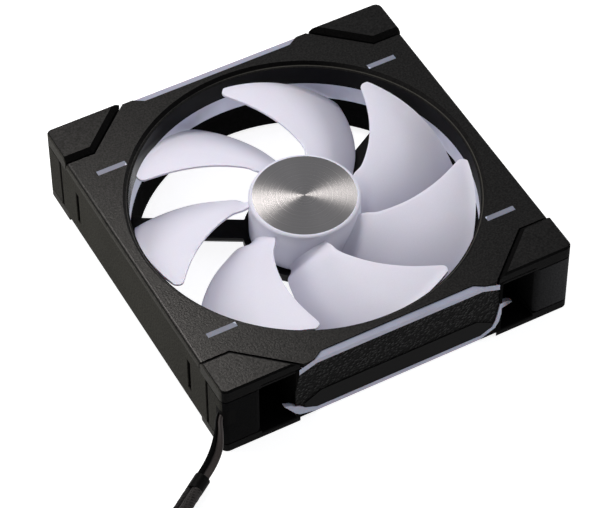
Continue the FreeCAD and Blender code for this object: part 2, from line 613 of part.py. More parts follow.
def make_impeller():
    """The hub cup with its blades, one moulding."""
    hub = turned("hub", [
        ("0", "hub_top - hub_roof"), ("hub_radius - hub_wall", "hub_top - hub_roof"),
        ("hub_radius - hub_wall", "hub_bottom"), ("hub_radius", "hub_bottom"), ("hub_radius", "hub_top"),
        ("disc_radius", "hub_top"), ("disc_radius", "hub_top - disc_thickness"), ("0", "hub_top - disc_thickness")])
    edge_radius = size("hub_radius")
    top = size("hub_top")
    smooth = softened("hub_smooth", hub, "hub_round",
                      lambda middle, edge: edge.Length > 6 * edge_radius and abs(middle.z - top) < 1e-3
                      and abs(edge.Curve.Radius - edge_radius) < 1e-3)
    blade = blade_shape()
    blades = [shaped(f"blade_{number + 1}", blade, Placement(Vector(), Rotation(
        Vector(0, 0, 1), size("first_blade") + 360 * number / size("blade_count"))))
        for number in range(int(size("blade_count")))]
    keep(joined("impeller_raw", [smooth] + blades), "impeller")


def make_rotor_core():
    """The disc on the hub, and the yoke, magnet, shaft, collar and clip inside it."""
    keep(ring("disc", "0", "disc_radius", "hub_top - disc_thickness", "hub_top"), "hub_disc")
    cup = "hub_radius - hub_wall"
    roof = "hub_top - hub_roof"
    keep(turned("yoke", [
        ("collar_radius", f"{roof} - yoke_wall"), (f"{cup} - yoke_wall", f"{roof} - yoke_wall"),
        (f"{cup} - yoke_wall", "yoke_bottom"), (cup, "yoke_bottom"), (cup, roof), ("collar_radius", roof)]),
        "rotor_yoke")
    keep(ring("magnet", f"{cup} - yoke_wall - magnet_wall", f"{cup} - yoke_wall", "magnet_bottom", "magnet_top"),
         "rotor_magnet")
    keep(ring("collar", "shaft_radius", "collar_radius", "collar_bottom", roof), "shaft_collar")
    keep(ring("shaft", "0", "shaft_radius", "tube_bottom + washer_thickness + end_play", roof), "rotor_shaft")
    keep(ring("clip", "shaft_radius", "clip_radius", "clip_bottom", "clip_bottom + clip_thickness"), "shaft_clip")


# ---------------------------------------------------------------- lead
LEAD_ROUTE = [(-58.6, -58.2, 17.0), (-61.2, -61.2, 12.6), (-63.8, -63.4, 8.2), (-66.9, -65.2, 4.8),
              (-70.8, -67.2, 3.1)]
CABLE_ROUTE = [(-75.0, -69.9, 2.7), (-80.6, -73.7, 2.6), (-86.6, -78.0, 2.6), (-92.2, -82.6, 2.6),
               (-97.8, -87.0, 2.6), (-103.2, -91.4, 2.6), (-108.5, -96.0, 2.6)]
TAIL_ROUTE = [(-84.5, -149.9, 7.4), (-77.5, -149.2, 6.6), (-70.6, -148.0, 4.9), (-63.6, -145.9, 3.2),
              (-56.8, -143.9, 2.6), (-50.0, -143.0, 2.6)]


def rounded_path(points):
    """Straight runs joined by tangent arcs, with the radii of the arcs and the whole length."""
    spots = [Vector(*point) for point in points]
    edges = []
    radii = []
    start = spots[0]
    for before, corner, after in zip(spots, spots[1:], spots[2:]):
        back = (before - corner).normalize()
        onward = (after - corner).normalize()
        turn = math.pi - back.getAngle(onward)
        reach = 0.45 * min((before - corner).Length, (after - corner).Length)
        radius = reach / math.tan(turn / 2)
        entry = corner + back * reach
        leave = corner + onward * reach
        middle = corner + (back + onward).normalize() * (radius / math.cos(turn / 2) - radius)
        edges.append(Part.LineSegment(start, entry).toShape())
        edges.append(Part.Arc(entry, middle, leave).toShape())
        radii.append(radius)
        start = leave
    edges.append(Part.LineSegment(start, spots[-1]).toShape())
    return Part.Wire(edges), radii


def tube(name, route, diameter):
    """A round tube along a route of the lead."""
    path, radii = rounded_path(route)
    start = Vector(*route[0])
    section = Part.Wire(Part.Circle(start, Vector(*route[1]) - start, diameter / 2).toShape())
    solid = path.makePipeShell([section], True, True)
    expected = math.pi * diameter ** 2 / 4 * path.Length
    print(f"{name}: length {path.Length:.1f}, volume {solid.Volume / expected:.4f} of section times length,",
          "radii", " ".join(f"{radius:.0f}" for radius in radii))
    return keep(shaped(f"{name}_tube", solid), name)


def lying_block(low, high, spot, heading):
    """A box along a heading, set at a spot."""
    solid = Part.makeBox(*(high[i] - low[i] for i in range(3)), Vector(*low))
    return solid, Placement(Vector(*spot), Rotation(Vector(1, 0, 0), Vector(*heading)))


def make_lead():
    """The thin lead, its collar, the sleeved cable, its stored coil with a tie, and the plug."""
    thin = size("lead_width")
    thick = size("cable_width")
    tube("lead_ribbon", LEAD_ROUTE, thin)
    last = Vector(*LEAD_ROUTE[-1])
    first = Vector(*CABLE_ROUTE[0])
    collar = Part.makeCylinder(thick / 2, (first - last).Length, last, first - last)
    keep(shaped("collar_tube", collar), "cable_collar")
    tube("cable_run", CABLE_ROUTE, thick)

    center = Vector(size("coil_center_x"), size("coil_center_y"), 0)
    inner = size("coil_inner")
    outer = size("coil_outer")
    height = size("coil_height")
    band = size("tie_thickness")
    width = size("tie_width")
    strap = Part.makeBox(outer - inner + 2 * band, width, height + band, Vector(inner - band, -width / 2, 0))
    room = Part.makeBox(outer - inner, width, height - band, Vector(inner, -width / 2, band))
    tie = strap.cut(room)
    coil = Part.makeCylinder(outer, height).cut(Part.makeCylinder(inner, height)).cut(tie)
    turned_to = Placement(center, Rotation(Vector(0, 0, 1), size("tie_angle")))
    keep(shaped("coil_ring", coil, turned_to), "cable_coil")
    keep(shaped("tie_band", tie, turned_to), "coil_tie")

    tube("cable_tail", TAIL_ROUTE, thick)
    end = Vector(*TAIL_ROUTE[-1])
    heading = end - Vector(*TAIL_ROUTE[-2])
    heading.z = 0
    half = size("plug_width") / 2
    shell, place = lying_block((0, -half, 0), (size("plug_length"), half, size("plug_height")),
                               (end.x, end.y, 0), heading)
    for number in range(4):
        offset = (number - 1.5) * size("plug_pitch")
        shell = shell.cut(Part.makeBox(size("plug_length"), size("plug_hole"), size("plug_hole"),
                                       Vector(size("plug_wall"), offset - size("plug_hole") / 2,
                                              size("plug_hole_level"))))
    keep(shaped("plug_shell", shell, place), "fan_plug")


# ---------------------------------------------------------------- build
def build():
    hollows = []
    rooms = []
    for side, facing in SIDES:
        hollow, above = make_side_trim(side, facing)
        hollows.append(hollow)
        rooms.append(above)
    bars = make_light_bars()
    for corner, sx, sy in CORNERS:
        make_corner_cap(corner, sx, sy)
        make_corner_pad(corner, sx, sy)
        make_corner_post(corner, sx, sy)
    make_grommet()
    passage = bore_tool()
    make_housing(passage, hollows)
    make_top_cover(hollows + rooms, bars)
    make_lit_ring()
    make_bracket(passage)
    make_bearing()
    make_stator()
    make_impeller()
    make_rotor_core()
    make_lead()


def export():
    doc.recompute()
    broken = [item.Name for item in doc.Objects if {"Invalid", "Error"} & set(item.State)]
    broken += [item.Label for item in SUBPARTS if item.Shape.isNull() or not item.Shape.isValid()]
    if broken:
        raise RuntimeError(f"not sound: {broken}")
    os.makedirs("parts", exist_ok=True)
    for item in SUBPARTS:
        item.Shape.exportStep(f"parts/{item.Label}.step")
        box = item.Shape.BoundBox
        print(f"{item.Label:28s} solids {len(item.Shape.Solids)} volume {item.Shape.Volume:10.1f}"
              f"  z {box.ZMin:6.2f} to {box.ZMax:6.2f}")
    print(len(SUBPARTS), "sub-parts")


build()
export()
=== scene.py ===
"""Case fan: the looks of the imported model, its lead, a pale floor and soft studio light."""
import json
import math
import bpy
from mathutils import Matrix, Vector


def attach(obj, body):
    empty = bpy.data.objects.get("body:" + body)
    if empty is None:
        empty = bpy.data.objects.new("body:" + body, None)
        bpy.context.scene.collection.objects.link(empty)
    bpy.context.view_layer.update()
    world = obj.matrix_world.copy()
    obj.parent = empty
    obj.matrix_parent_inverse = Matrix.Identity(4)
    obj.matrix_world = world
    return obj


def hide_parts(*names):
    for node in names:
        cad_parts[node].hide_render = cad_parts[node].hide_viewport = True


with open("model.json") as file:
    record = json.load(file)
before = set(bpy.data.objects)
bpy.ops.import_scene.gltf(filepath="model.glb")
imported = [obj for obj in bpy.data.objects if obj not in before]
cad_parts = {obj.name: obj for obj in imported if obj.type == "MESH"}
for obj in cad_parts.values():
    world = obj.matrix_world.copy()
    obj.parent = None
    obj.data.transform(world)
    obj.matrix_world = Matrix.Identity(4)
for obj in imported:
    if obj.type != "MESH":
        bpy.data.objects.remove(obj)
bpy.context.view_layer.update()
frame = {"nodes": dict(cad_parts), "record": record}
MM = 0.001


# ---------------------------------------------------------------- camera
CAMERA_ANGLES = (-28.272, 49.163, -0.306)
CAMERA_SPOT = (-0.299123, -0.552651, 0.723578)
LENS, SENSOR = 182.87, 36


def make_camera():
    """The camera at the photographed angle, looking down at the fan's front left corner."""
    azimuth, elevation, roll = (math.radians(x) for x in CAMERA_ANGLES)
    back = Vector((math.sin(azimuth) * math.cos(elevation), -math.cos(azimuth) * math.cos(elevation),
                   math.sin(elevation)))
    right = (-back).cross(Vector((0, 0, 1))).normalized()
    up = right.cross(-back)
    turned_right = right * math.cos(roll) + up * math.sin(roll)
    turned_up = up * math.cos(roll) - right * math.sin(roll)
    data = bpy.data.cameras.new("view")
    data.lens = LENS
    data.sensor_width = SENSOR
    data.clip_start, data.clip_end = 0.05, 20
    camera = bpy.data.objects.new("view", data)
    bpy.context.scene.collection.objects.link(camera)
    camera.matrix_world = (Matrix.Translation(CAMERA_SPOT)
                           @ Matrix((turned_right, turned_up, back)).transposed().to_4x4())
    bpy.context.scene.camera = camera


# ---------------------------------------------------------------- mesh helpers
def add_mesh(name, spots, faces, material, smooth=True):
    """A mesh object from points in metres and faces, with one material."""
    data = bpy.data.meshes.new(name)
    data.from_pydata([tuple(spot) for spot in spots], [], faces)
    data.validate()
    if smooth:
        data.shade_smooth()
    data.materials.append(material)
    piece = bpy.data.objects.new(name, data)
    bpy.context.scene.collection.objects.link(piece)
    return piece


def smooth_line(name, points):
    """The points of one open NURBS spline through a route given in millimetres."""
    data = bpy.data.curves.new(name, "CURVE")
    data.dimensions = "3D"
    spline = data.splines.new("NURBS")
    spline.points.add(len(points) - 1)
    for spot, point in zip(spline.points, points):
        spot.co = (*(Vector(point) * MM), 1)
    spline.order_u = 3
    spline.use_endpoint_u = True
    spline.resolution_u = 16
    holder = bpy.data.objects.new(name, data)
    bpy.context.scene.collection.objects.link(holder)
    read = bpy.data.meshes.new_from_object(holder)
    line = [vertex.co.copy() for vertex in read.vertices]
    bpy.data.meshes.remove(read)
    bpy.data.objects.remove(holder)
    return line


def evenly(line, step):
    """The same line with points a step apart, and the arc length of each."""
    lengths = [0.0]
    for here, there in zip(line, line[1:]):
        lengths.append(lengths[-1] + (there - here).length)
    count = max(2, round(lengths[-1] / step))
    spots = []
    index = 0
    for number in range(count + 1):
        want = lengths[-1] * number / count
        while index < len(lengths) - 2 and lengths[index + 1] < want:
            index += 1
        share = (want - lengths[index]) / max(lengths[index + 1] - lengths[index], 1e-12)
        spots.append(line[index].lerp(line[index + 1], share))
    return spots, [lengths[-1] * number / count for number in range(count + 1)]


def sweep(name, line, across, section, material):
    """A closed tube along a line.  across is the wide direction at the start; section(length) gives a ring
    of (wide, high) offsets in metres."""
    spots, lengths = line
    side = Vector(across)
    rings = []
    for index, spot in enumerate(spots):
        ahead = (spots[min(index + 1, len(spots) - 1)] - spots[max(index - 1, 0)]).normalized()
        side = (side - ahead * side.dot(ahead)).normalized()
        above = side.cross(ahead)
        rings.append([spot + side * wide + above * high for wide, high in section(lengths[index])])
    count = len(rings[0])
    vertices = [spot for ring in rings for spot in ring]
    faces = [(row * count + k, row * count + (k + 1) % count, (row + 1) * count + (k + 1) % count,
              (row + 1) * count + k) for row in range(len(rings) - 1) for k in range(count)]
    last = (len(rings) - 1) * count
    faces += [tuple(reversed(range(count))), tuple(last + k for k in range(count))]
    return add_mesh(name, vertices, faces, material)


# ---------------------------------------------------------------- materials
# Places on the fan, in metres: along X or Y off its middle, radii off its axis, and heights.  A pair is where a
# change starts and where it is complete.
FLANK, TRIM_FACE, TRIM_ZONE = 0.0597, 0.0578, 0.05
# The span along X where the posts' painted light comes in.
RIGHT_POSTS = (0.043, 0.058)
PRONG_REACH, PRONG_HEIGHT = (0.0352, 0.0375), (0.0105, 0.011)
# Heights over which the blades' painted shade fades out.
BLADE_FADE = (0.007, 0.0205)
DUCT_RING, DUCT_WALL, LABEL_EDGE = (0.0568, 0.057), (0.05442, 0.05448), (0.01535, 0.0154)
# Radii and span along X of the pale rim line, a painted highlight.
RIM_LINE_START, RIM_LINE_END, RIM_LINE_SIDE = (0.05485, 0.05495), (0.0552, 0.0553), (-0.01, 0.02)
# The span along X where the duct wall's painted shade comes in.
PAINTED_SHADE_SIDE = (-0.045, -0.025)
# The roughness of sandy mouldings off their level faces, and colours.
EDGE_ROUGHNESS = 0.95
# The outer flanks along X take a paler black: painted light.
FLANK_PAINTED_LIGHT = (0.034, 0.0328, 0.0285)
BLACK = (0.0030, 0.0029, 0.0029)
GREY_BLACK = (0.0045, 0.0045, 0.0047)
# The posts' paler tone on faces towards Y at the +X end is painted light.
POST_RIGHT_PAINTED_LIGHT = (0.026, 0.026, 0.027)
WALL_BLACK = (0.004, 0.004, 0.005)
# The pale rim line's colour is a painted highlight.
RIM_PAINTED_HIGHLIGHT = (0.04, 0.039, 0.034)
# The trim's milk is greyer than the duct ring's: painted shade.
MILK, RING_MILK = (0.2, 0.208, 0.265), (0.57, 0.575, 0.70)
# The blades' grey towards their low ends is painted shade.
BLADE_WHITE, BLADE_PAINTED_SHADE = (0.71, 0.70, 0.80), (0.38, 0.38, 0.46)
DISC_METAL = (0.39, 0.375, 0.374)
WARM_SHEEN, FULL_SHEEN = (1.0, 0.97, 0.94), (1.0, 1.0, 1.0)


class Paint:
    """A material in the making: its shader, and short calls for the nodes that feed it."""

    def __init__(self, name, **numbers):
        self.material = bpy.data.materials.new(name)
        self.material.use_nodes = True
        tree = self.material.node_tree
        self.nodes = tree.nodes
        self.links = tree.links
        self.shader = self.nodes["Principled BSDF"]
        coordinates = self.nodes.new("ShaderNodeTexCoord").outputs
        self.place, self.facing = coordinates["Object"], coordinates["Normal"]
        for socket, value in numbers.items():
            self.shader.inputs[socket.replace("_", " ")].default_value = value

    def node(self, kind, inputs, **settings):
        """A node with its settings made and its inputs filled, each from a number or another node."""
        made = self.nodes.new(f"ShaderNode{kind}")
        for key, value in settings.items():
            setattr(made, key, value)
        for key, value in inputs.items():
            if isinstance(value, bpy.types.NodeSocket):
                self.links.new(value, made.inputs[key])
            else:
                made.inputs[key].default_value = value
        return made

    def noise(self, scale, detail=3.0, roughness=0.55, place=None):
        return self.node("TexNoise", {"Vector": place or self.place, "Scale": scale, "Detail": detail,
                                      "Roughness": roughness}).outputs["Fac"]

    def cells(self, scale, feature="F1", place=None):
        return self.node("TexVoronoi", {"Vector": place or self.place, "Scale": scale},
                         feature=feature).outputs["Distance"]

    def stretched(self, x, y, z):
        return self.node("Mapping", {"Vector": self.place, "Scale": (x, y, z)}).outputs["Vector"]

    def sums(self, operation, first, second=0.0):
        return self.node("Math", {0: first, 1: second}, operation=operation).outputs[0]

    def spread(self, value, low, high, to_low=0.0, to_high=1.0):
        return self.node("MapRange", {"Value": value, "From Min": low, "From Max": high, "To Min": to_low,
                                      "To Max": to_high}).outputs["Result"]

    def blend(self, share, first, second):
        """Between two colours; each is a triple or a socket."""
        made = self.node("Mix", {0: share}, data_type="RGBA")
        for socket, value in ((made.inputs[6], first), (made.inputs[7], second)):
            if isinstance(value, bpy.types.NodeSocket):
                self.links.new(value, socket)
            else:
                socket.default_value = (*value, 1)
        return made.outputs[2]

    def between(self, share, first, second):
        """Between two numbers; each is a number or a socket."""
        return self.node("Mix", {0: share, 2: first, 3: second}, data_type="FLOAT").outputs[0]

    def parts(self, place=None):
        return self.node("SeparateXYZ", {"Vector": place or self.place}).outputs

    def radius(self):
        """The distance from the rotor's axis."""
        x, y, _ = self.parts()
        flat = self.node("CombineXYZ", {"X": x, "Y": y}).outputs[0]
        return self.node("VectorMath", {0: flat}, operation="LENGTH").outputs["Value"]

    def beyond(self, axis, reach):
        """1 further out along an axis, either way, than a reach; 0 nearer."""
        return self.spread(self.sums("ABSOLUTE", self.parts()[axis]), reach - 0.0001, reach)

    def towards(self, axis, share):
        """1 where the surface faces along an axis, either way; 0 where it faces across it."""
        return self.spread(self.sums("ABSOLUTE", self.parts(self.facing)[axis]), share - 0.08, share + 0.08)

    def scaled(self, colour, factor):
        return self.node("VectorMath", {0: colour, "Scale": factor}, operation="SCALE").outputs["Vector"]

    def bump(self, height, depth):
        return self.node("Bump", {"Height": height, "Distance": depth, "Strength": 1.0}).outputs["Normal"]

    def sand(self, tone, specks, patches, contrast):
        """A colour made sandy by specks and slightly uneven by patches."""
        tone = self.scaled(tone, self.spread(specks, 0.32, 0.68, 1 - contrast, 1 + contrast))
        return self.scaled(tone, self.spread(patches, 0.35, 0.65, 0.93, 1.07))

    def uneven(self, patches, specks, roughness, swing):
        """A roughness that swings with the patches and a little with the specks."""
        return self.sums("ADD", self.spread(patches, 0.3, 0.7, roughness - swing, roughness + swing),
                         self.spread(specks, 0.3, 0.7, -0.04, 0.04))

    def sheen(self, specks, share, dull):
        """A speckled warm sheen that falls to a dull one on faces towards Y; that fall is painted shade."""
        return self.scaled(self.blend(self.towards(1, share), WARM_SHEEN, (dull, dull, dull)),
                           self.spread(specks, 0.38, 0.62, 0.55, 1.0))

    def feed(self, **sockets):
        for name, value in sockets.items():
            self.links.new(value, self.shader.inputs[name.replace("_", " ")])
        return self.material


def shade(colour, factor):
    return tuple(min(1.0, part * factor) for part in colour)


def moulded(name, colour, roughness, grain=2600.0, depth=0.00004, contrast=0.18, **numbers):
    """Moulded plastic: a spark-eroded grain, soft colour patches, uneven gloss."""
    paint = Paint(name, **numbers)
    patches = paint.noise(55.0, 4.0)
    specks = paint.noise(grain, 2.0, 0.6)
    tone = paint.blend(paint.spread(specks, 0.3, 0.7), shade(colour, 1 - contrast), shade(colour, 1 + contrast))
    colour_out = paint.blend(paint.spread(patches, 0.35, 0.65, 0.0, 0.5), tone, shade(colour, 1 + contrast / 2))
    return paint.feed(Base_Color=colour_out, Roughness=paint.uneven(patches, specks, roughness, 0.05),
                      Normal=paint.bump(specks, depth))


def bladed(name, colour, deep):
    """Satin white plastic, painted greyer towards the blades' low ends to follow the reference light."""
    paint = Paint(name, Subsurface_Weight=0.1, Subsurface_Scale=0.002, Specular_IOR_Level=0.3)
    patches = paint.noise(55.0, 4.0)
    specks = paint.noise(3400.0, 2.0, 0.6)
    tone = paint.blend(paint.spread(paint.parts()[2], *BLADE_FADE), deep, colour)
    tone = paint.scaled(tone, paint.spread(specks, 0.3, 0.7, 0.98, 1.02))
    tone = paint.scaled(tone, paint.spread(patches, 0.35, 0.65, 1.0, 1.02))
    return paint.feed(Base_Color=tone, Roughness=paint.uneven(patches, specks, 0.42, 0.05),
                      Normal=paint.bump(specks, 0.000012))


def cased(name, colour, flank, roughness, grain=1700.0, depth=0.00005, contrast=0.35, right=None, **numbers):
    """Black casing: sandy satin on top.  The paler flanks and dull trim sides are painted to follow the reference
    light, and so is the right tone, at the +X end of the trim sides."""
    paint = Paint(name, **numbers)
    patches = paint.noise(50.0, 4.0)
    specks = paint.noise(grain, 2.5, 0.65)
    # Painted light: the outer flanks along X take the paler flank tone.
    tone = paint.blend(paint.beyond(0, FLANK), colour, flank)
    if right:
        # Painted light: faces towards Y at the +X end take the paler right tone.
        share = paint.sums("MULTIPLY", paint.towards(1, 0.35), paint.spread(paint.parts()[0], *RIGHT_POSTS))
        tone = paint.blend(share, tone, right)
    tone = paint.sand(tone, specks, patches, contrast)
    gloss = paint.uneven(patches, specks, roughness, 0.02)
    gloss = paint.between(paint.towards(2, 0.9), EDGE_ROUGHNESS, gloss)
    # Painted shade: the sheen is dulled on faces towards Y.
    return paint.feed(Base_Color=tone, Roughness=gloss, Specular_Tint=paint.sheen(specks, 0.35, 0.05),
                      Normal=paint.bump(specks, depth))


def grained(name, colour):
    """Moulded leather grain: small uneven cells with sunk borders, painted darker and duller than the cell tops as
    painted shade.
    """
    paint = Paint(name, Specular_IOR_Level=0.06)
    bent = paint.node("Mix", {0: 0.0012, 4: paint.place, 5: paint.node(
        "TexNoise", {"Vector": paint.place, "Scale": 420.0}).outputs["Color"]}, data_type="VECTOR").outputs[1]
    cells = paint.cells(950.0, place=bent)
    fine = paint.noise(3200.0)
    height = paint.sums("ADD", paint.spread(cells, 0.0, 0.65, 1.0, 0.0), paint.spread(fine, 0.3, 0.7, 0.0, 0.2))
    # Painted shade: darker and less reflective towards the sunk cell borders.
    tone = paint.blend(paint.spread(cells, 0.1, 0.6), shade(colour, 1.3), shade(colour, 0.5))
    gloss = paint.spread(cells, 0.0, 0.6, 0.34, 0.6)
    crests = paint.blend(paint.spread(cells, 0.15, 0.5), FULL_SHEEN, (0.06, 0.06, 0.06))
    return paint.feed(Base_Color=tone, Roughness=gloss, Specular_Tint=crests, Normal=paint.bump(height, 0.00026))


def diffusing(name, colour):
    """Milky translucent plastic over unlit lights: greyer in the trim and dim in the pockets as painted shade, paler
    in the duct, and painted light on the trim's outer faces.
    """
    paint = Paint(name, Subsurface_Weight=0.2, Subsurface_Scale=0.003, Specular_IOR_Level=0.3)
    cloud = paint.noise(140.0, 3.0)
    fine = paint.noise(2600.0, 2.0)
    in_duct = paint.spread(paint.radius(), *DUCT_RING, 1.0, 0.0)
    # Painted light: the outermost faces of the trim are paler.
    tone = paint.blend(paint.beyond(1, TRIM_FACE), colour, shade(colour, 1.6))
    tone = paint.blend(in_duct, tone, RING_MILK)
    x, _, z = paint.parts()
    # Painted shade: the prongs in the pockets are dimmed.
    prong = paint.sums("MULTIPLY", paint.spread(paint.sums("ABSOLUTE", x), *PRONG_REACH),
                       paint.spread(z, *PRONG_HEIGHT))
    prong = paint.sums("MULTIPLY", prong, paint.beyond(1, TRIM_ZONE))
    tone = paint.scaled(tone, paint.spread(prong, 0.0, 1.0, 1.0, 0.2))
    tone = paint.scaled(tone, paint.spread(cloud, 0.3, 0.7, 0.92, 1.06))
    return paint.feed(Base_Color=tone, Roughness=paint.spread(fine, 0.3, 0.7, 0.34, 0.5),
                      Normal=paint.bump(fine, 0.000012))


def duct_cover(name, colour):
    """The cover: sandy satin grain on its plate and polished black down the duct.  The duct's dull side and the
    pale line on the rim are painted to follow the reference light."""
    paint = Paint(name, Specular_IOR_Level=0.34)
    patches = paint.noise(45.0, 4.0)
    specks = paint.noise(1700.0, 2.5, 0.65)
    # Painted light: the cover's outer flanks along X take the paler flank black.
    tone = paint.blend(paint.beyond(0, FLANK), colour, FLANK_PAINTED_LIGHT)
    tone = paint.sand(tone, specks, patches, 0.38)
    wall = paint.spread(paint.radius(), *DUCT_WALL, 1.0, 0.0)
    x = paint.parts()[0]
    painted_shade_side = paint.spread(x, *PAINTED_SHADE_SIDE)
    polished = paint.sums("ADD", paint.spread(paint.noise(90.0), 0.3, 0.7, 0.16, 0.24),
                          paint.sums("MULTIPLY", painted_shade_side, 0.5))
    sandy = paint.between(paint.towards(2, 0.9), EDGE_ROUGHNESS, paint.spread(specks, 0.3, 0.7, 0.28, 0.37))
    gloss = paint.between(wall, sandy, polished)
    height = paint.sums("MULTIPLY", specks, paint.sums("SUBTRACT", 1.0, wall))
    # Painted shade: the plate's sheen is dulled on faces towards Y.
    satin = paint.sheen(specks, 0.6, 0.1)
    # Painted shade: the duct wall's reflections are dimmed towards +X.
    polish = paint.blend(painted_shade_side, FULL_SHEEN, (0.1, 0.1, 0.11))
    # Painted highlight: a pale line on the rim, towards +X.
    edge = paint.sums("MULTIPLY", paint.spread(paint.radius(), *RIM_LINE_START),
                      paint.spread(paint.radius(), *RIM_LINE_END, 1.0, 0.0))
    edge = paint.sums("MULTIPLY", edge, paint.spread(x, *RIM_LINE_SIDE))
    tone = paint.blend(wall, tone, WALL_BLACK)
    return paint.feed(Base_Color=paint.blend(edge, tone, RIM_PAINTED_HIGHLIGHT), Roughness=gloss,
                      Specular_Tint=paint.blend(wall, satin, polish), Normal=paint.bump(height, 0.00006))


def spun_metal(name, colour, pitch, roughness):
    """Metal with concentric turning marks, which stretch its highlights into a bow tie."""
    paint = Paint(name, Metallic=1.0, Anisotropic=0.88, Anisotropic_Rotation=0.358)
    radius = paint.radius()
    rings = paint.sums("SINE", paint.sums("MULTIPLY", radius, 2 * math.pi / pitch))
    band = paint.noise(1.0, 6.0, 0.7, place=paint.node(
        "CombineXYZ", {"X": paint.sums("MULTIPLY", radius, 2600.0)}).outputs[0])
    height = paint.sums("ADD", paint.spread(rings, -1.0, 1.0, 0.0, 0.7), paint.spread(band, 0.3, 0.7, 0.0, 0.3))
    tone = paint.blend(paint.spread(band, 0.3, 0.7), shade(colour, 0.86), shade(colour, 1.1))
    around = paint.node("Tangent", {}, direction_type="RADIAL", axis="Z").outputs["Tangent"]
    return paint.feed(Base_Color=tone, Roughness=paint.spread(band, 0.3, 0.7, roughness - 0.03, roughness + 0.05),
                      Normal=paint.bump(height, 0.000003), Tangent=around)


def plain_metal(name, colour, roughness, grain=1800.0, stretch=(1, 1, 1)):
    """Metal with fine drawn or ground marks."""
    paint = Paint(name, Metallic=1.0)
    marks = paint.noise(grain, 3.0, 0.6, place=paint.stretched(*stretch))
    stains = paint.noise(110.0, 4.0)
    tone = paint.blend(paint.spread(stains, 0.35, 0.65), shade(colour, 0.8), shade(colour, 1.08))
    return paint.feed(Base_Color=tone, Roughness=paint.spread(marks, 0.3, 0.7, roughness - 0.08, roughness + 0.1),
                      Normal=paint.bump(marks, 0.000015))


def layered(name, colour, dark, pitch, roughness, metallic=0.0):
    """A stack or winding: thin bands a pitch apart along the axis."""
    paint = Paint(name, Metallic=metallic)
    height = paint.parts()[2]
    bands = paint.sums("SINE", paint.sums("MULTIPLY", height, 2 * math.pi / pitch))
    specks = paint.noise(1500.0, 3.0)
    tone = paint.blend(paint.spread(bands, -1.0, 0.2), dark, colour)
    tone = paint.blend(paint.spread(specks, 0.4, 0.8, 0.0, 0.5), tone, shade(colour, 0.6))
    return paint.feed(Base_Color=tone, Roughness=paint.spread(specks, 0.3, 0.7, roughness - 0.08, roughness + 0.08),
                      Normal=paint.bump(bands, 0.00005))


def woven(name, colour, cell=1500.0):
    """Close fabric: two crossed sets of threads and some fuzz, with tone that follows the height: painted shade in the
    hollows, painted light on the crests.
    """
    paint = Paint(name, Sheen_Weight=0.06, Sheen_Roughness=0.5, Specular_IOR_Level=0.15)
    x, y, z = paint.parts()
    one = paint.sums("SINE", paint.sums("MULTIPLY", paint.sums("ADD", x, paint.sums("ADD", y, z)), cell * 3))
    two = paint.sums("SINE", paint.sums("MULTIPLY", paint.sums("SUBTRACT", x, paint.sums("SUBTRACT", y, z)),
                                        cell * 3))
    fuzz = paint.noise(4200.0, 4.0, 0.7)
    height = paint.sums("ADD", paint.sums("MAXIMUM", one, two), paint.spread(fuzz, 0.3, 0.7, 0.0, 0.8))
    # Painted shade in the hollows between threads and painted light on their crests; the fuzz adds random tone.
    tone = paint.blend(paint.spread(height, -0.6, 1.6), shade(colour, 0.45), shade(colour, 1.5))
    return paint.feed(Base_Color=tone, Roughness=paint.spread(fuzz, 0.3, 0.7, 0.6, 0.85),
                      Normal=paint.bump(height, 0.00008))


def circuit_board(name):
    """Solder mask with paler copper tracks under it."""
    paint = Paint(name, Coat_Weight=0.3, Coat_Roughness=0.15)
    tracks = paint.spread(paint.cells(260.0, "DISTANCE_TO_EDGE"), 0.04, 0.09)
    mottle = paint.noise(900.0, 3.0)
    tone = paint.blend(tracks, (0.012, 0.05, 0.022), (0.006, 0.024, 0.012))
    tone = paint.blend(paint.spread(mottle, 0.4, 0.75, 0.0, 0.4), tone, (0.02, 0.06, 0.03))
    return paint.feed(Base_Color=tone, Roughness=paint.spread(mottle, 0.3, 0.7, 0.3, 0.45),
                      Normal=paint.bump(tracks, 0.00003))


def printed_label(name):
    """A plain blank label with paper fibre under its film."""
    paint = Paint(name, Coat_Weight=0.25, Coat_Roughness=0.2)
    fibre = paint.noise(1400.0, 5.0, 0.7, place=paint.stretched(1, 2.4, 1))
    border = paint.spread(paint.radius(), *LABEL_EDGE)
    tone = paint.blend(paint.spread(fibre, 0.35, 0.65), (0.030, 0.031, 0.034), (0.038, 0.039, 0.043))
    tone = paint.blend(border, tone, (0.20, 0.20, 0.22))
    return paint.feed(Base_Color=tone, Roughness=paint.spread(fibre, 0.3, 0.7, 0.42, 0.55),
                      Normal=paint.bump(fibre, 0.00001))


